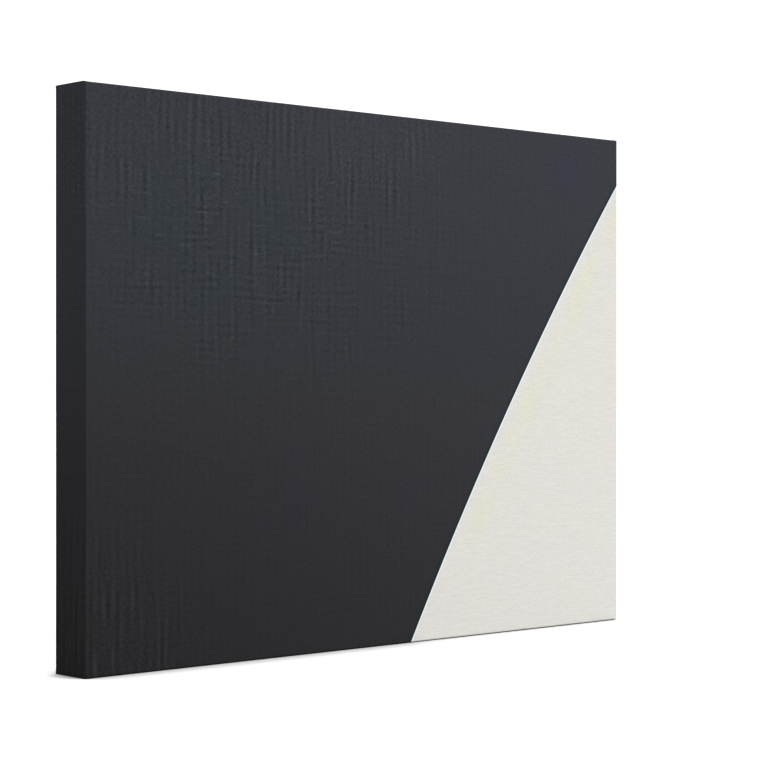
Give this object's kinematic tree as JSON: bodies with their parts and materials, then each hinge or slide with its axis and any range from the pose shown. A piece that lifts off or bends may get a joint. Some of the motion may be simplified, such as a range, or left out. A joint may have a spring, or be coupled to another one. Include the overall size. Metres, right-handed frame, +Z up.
{
  "type": "stretched canvas",
  "caption": "Printed canvas wrapped over a keyed pine stretcher frame, folded at the corners and stapled at the back, with a sawtooth hanger and wall bumpers.",
  "frame": {"origin": "middle of the bottom of the bounding box, on the surface that the canvas stands on", "axes": "the picture faces -Y, +X is to the right as the picture is seen, +Z is up"},
  "size_m": [0.601, 0.044, 0.4524],
  "materials": {
    "printed_canvas": "matte print on plain-weave cotton",
    "pine": "planed, unfinished",
    "beech": "sawn, unfinished",
    "staple_wire": "galvanised wire",
    "zinc_plate": "zinc-plated strip",
    "nail_steel": "bright steel",
    "bumper_rubber": "matte, self-adhesive"
  },
  "bodies": {
    "frame": {"stretcher_bar_top": "pine", "stretcher_bar_right": "pine", "stretcher_bar_bottom": "pine", "stretcher_bar_left": "pine", "canvas": "printed_canvas", "staples_top": "staple_wire", "staples_right": "staple_wire", "staples_bottom": "staple_wire", "staples_left": "staple_wire", "sawtooth_hanger": "zinc_plate", "hanger_nail_left": "nail_steel", "hanger_nail_right": "nail_steel", "bumper_top_left": "bumper_rubber", "bumper_top_right": "bumper_rubber", "bumper_bottom_left": "bumper_rubber", "bumper_bottom_right": "bumper_rubber"},
    "key_top_bar_left": {"key_top_bar_left": "beech"},
    "key_top_bar_right": {"key_top_bar_right": "beech"},
    "key_right_bar_top": {"key_right_bar_top": "beech"},
    "key_right_bar_bottom": {"key_right_bar_bottom": "beech"},
    "key_bottom_bar_right": {"key_bottom_bar_right": "beech"},
    "key_bottom_bar_left": {"key_bottom_bar_left": "beech"},
    "key_left_bar_bottom": {"key_left_bar_bottom": "beech"},
    "key_left_bar_top": {"key_left_bar_top": "beech"}
  },
  "joints": [
    {"name": "key_top_bar_left_pull", "type": "slide", "parent": "frame", "child": "key_top_bar_left", "axis": [0, 0, -1], "range_m": [0, 0.028]},
    {"name": "key_top_bar_right_pull", "type": "slide", "parent": "frame", "child": "key_top_bar_right", "axis": [0, 0, -1], "range_m": [0, 0.028]},
    {"name": "key_right_bar_top_pull", "type": "slide", "parent": "frame", "child": "key_right_bar_top", "axis": [-1, 0, 0], "range_m": [0, 0.028]},
    {"name": "key_right_bar_bottom_pull", "type": "slide", "parent": "frame", "child": "key_right_bar_bottom", "axis": [-1, 0, 0], "range_m": [0, 0.028]},
    {"name": "key_bottom_bar_right_pull", "type": "slide", "parent": "frame", "child": "key_bottom_bar_right", "axis": [0, 0, 1], "range_m": [0, 0.028]},
    {"name": "key_bottom_bar_left_pull", "type": "slide", "parent": "frame", "child": "key_bottom_bar_left", "axis": [0, 0, 1], "range_m": [0, 0.028]},
    {"name": "key_left_bar_bottom_pull", "type": "slide", "parent": "frame", "child": "key_left_bar_bottom", "axis": [1, 0, 0], "range_m": [0, 0.028]},
    {"name": "key_left_bar_top_pull", "type": "slide", "parent": "frame", "child": "key_left_bar_top", "axis": [1, 0, 0], "range_m": [0, 0.028]}
  ]
}
